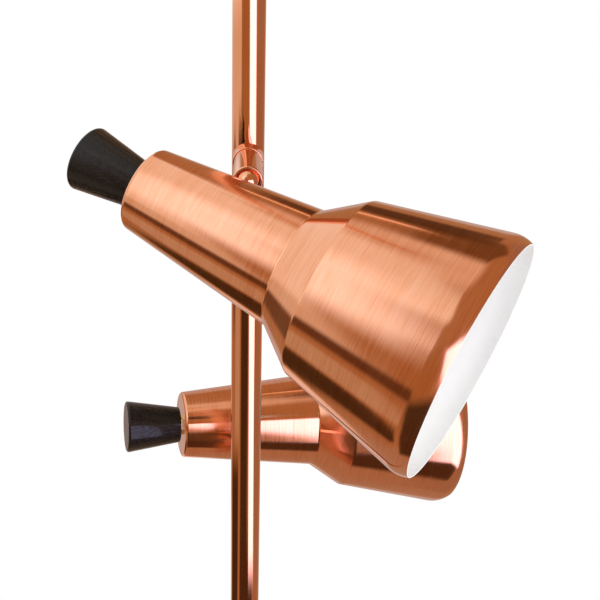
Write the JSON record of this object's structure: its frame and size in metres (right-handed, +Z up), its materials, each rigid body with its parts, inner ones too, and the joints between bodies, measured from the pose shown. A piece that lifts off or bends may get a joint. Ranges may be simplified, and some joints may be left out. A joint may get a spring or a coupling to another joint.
{
  "type": "tension pole lamp",
  "caption": "Floor-to-ceiling tension pole lamp: copper tube with sprung ceiling foot and spun conical spot heads on ball swivels, each with a wooden turn knob.",
  "frame": {"origin": "centre of the floor pad's underside, on the pole's axis", "axes": "+Z up along the pole, +X to the right of the picture, the upper head on the -Y side and the lower one on the +Y side"},
  "size_m": [0.2683, 0.4188, 2.5],
  "materials": {
    "polished_copper": "polished",
    "brushed_copper": "satin",
    "black_wood": "satin",
    "rubber": "matte",
    "steel": "satin",
    "brass": "satin",
    "nylon": "matte",
    "black_plastic": "satin",
    "lead_sheath": "matte",
    "opal_glass": "satin"
  },
  "bodies": {
    "pole": {"floor_pad": "rubber", "floor_foot": "polished_copper", "foot_screw": "polished_copper", "lower_tube": "polished_copper", "cord_grommet": "rubber", "tube_couplers": "steel", "middle_tube": "polished_copper", "top_tube": "polished_copper", "pole_leads": "lead_sheath", "lock_collet": "nylon", "nipple_nuts": "brass", "upper_saddle": "polished_copper", "upper_nipple": "brass", "lower_saddle": "polished_copper", "lower_nipple": "brass"},
    "lock_nut": {"lock_nut": "polished_copper"},
    "extension": {"extension_tube": "polished_copper", "extension_glide": "nylon", "spring_seat": "steel", "tension_spring": "steel", "guide_bush": "nylon"},
    "ceiling_plunger": {"plunger_rod": "steel", "ceiling_foot": "polished_copper", "ceiling_pad": "rubber"},
    "upper_swivel": {"upper_socket": "polished_copper", "upper_socket_ring": "polished_copper"},
    "upper_ball": {"upper_ball_stem": "polished_copper", "upper_stem_lead": "lead_sheath", "upper_stem_nut": "brass"},
    "upper_head": {"upper_stem_washer": "polished_copper", "upper_shell": "brushed_copper", "upper_holder_bracket": "steel", "upper_lampholder": "black_plastic", "upper_bulb_cap": "steel", "upper_bulb_glass": "opal_glass", "upper_head_leads": "lead_sheath", "upper_switch_body": "black_plastic", "upper_switch_nut": "brass"},
    "upper_knob": {"upper_switch_shaft": "steel", "upper_knob_insert": "brass", "upper_knob": "black_wood"},
    "lower_swivel": {"lower_socket": "polished_copper", "lower_socket_ring": "polished_copper"},
    "lower_ball": {"lower_ball_stem": "polished_copper", "lower_stem_lead": "lead_sheath", "lower_stem_nut": "brass"},
    "lower_head": {"lower_stem_washer": "polished_copper", "lower_shell": "brushed_copper", "lower_holder_bracket": "steel", "lower_lampholder": "black_plastic", "lower_bulb_cap": "steel", "lower_bulb_glass": "opal_glass", "lower_head_leads": "lead_sheath", "lower_switch_body": "black_plastic", "lower_switch_nut": "brass"},
    "lower_knob": {"lower_switch_shaft": "steel", "lower_knob_insert": "brass", "lower_knob": "black_wood"}
  },
  "joints": [
    {"name": "lock_nut_turn", "type": "hinge", "parent": "pole", "child": "lock_nut", "pos_m": [0, 0, 2.2033], "axis": [0, 0, 1], "range_deg": [0, 120]},
    {"name": "extension_slide", "type": "slide", "parent": "pole", "child": "extension", "axis": [0, 0, 1], "range_m": [-0.12, 0.08]},
    {"name": "ceiling_spring", "type": "slide", "parent": "extension", "child": "ceiling_plunger", "axis": [0, 0, 1], "range_m": [-0.05, 0], "stiffness_N_per_m": 600, "springref_m": 0.05, "deforming": ["tension_spring"]},
    {"name": "upper_turn", "type": "hinge", "parent": "pole", "child": "upper_swivel", "pos_m": [0, -0.058, 1.7], "axis": [0, -1, 0], "range_deg": [-160, 160]},
    {"name": "upper_tilt", "type": "hinge", "parent": "upper_swivel", "child": "upper_ball", "pos_m": [0, -0.058, 1.7], "axis": [0.6018, 0, -0.7986], "range_deg": [-87, 2]},
    {"name": "upper_roll", "type": "hinge", "parent": "upper_ball", "child": "upper_head", "pos_m": [0, -0.058, 1.7], "axis": [-0.5436, -0.7325, -0.4097], "range_deg": [-45, 90]},
    {"name": "upper_knob_turn", "type": "hinge", "parent": "upper_head", "child": "upper_knob", "pos_m": [-0.05711, -0.06765, 1.69663], "axis": [0.8386, -0.4537, -0.3015], "continuous": true},
    {"name": "lower_turn", "type": "hinge", "parent": "pole", "child": "lower_swivel", "pos_m": [0, 0.058, 1.46], "axis": [0, 1, 0], "range_deg": [-160, 160]},
    {"name": "lower_tilt", "type": "hinge", "parent": "lower_swivel", "child": "lower_ball", "pos_m": [0, 0.058, 1.46], "axis": [0.2823, 0, 0.9593], "range_deg": [-57, 32]},
    {"name": "lower_roll", "type": "hinge", "parent": "lower_ball", "child": "lower_head", "pos_m": [0, 0.058, 1.46], "axis": [-0.2011, 0.9778, 0.0592], "range_deg": [-150, 90]},
    {"name": "lower_knob_turn", "type": "hinge", "parent": "lower_head", "child": "lower_knob", "pos_m": [-0.04948, 0.08793, 1.46475], "axis": [0.9772, 0.2044, -0.0567], "continuous": true}
  ]
}
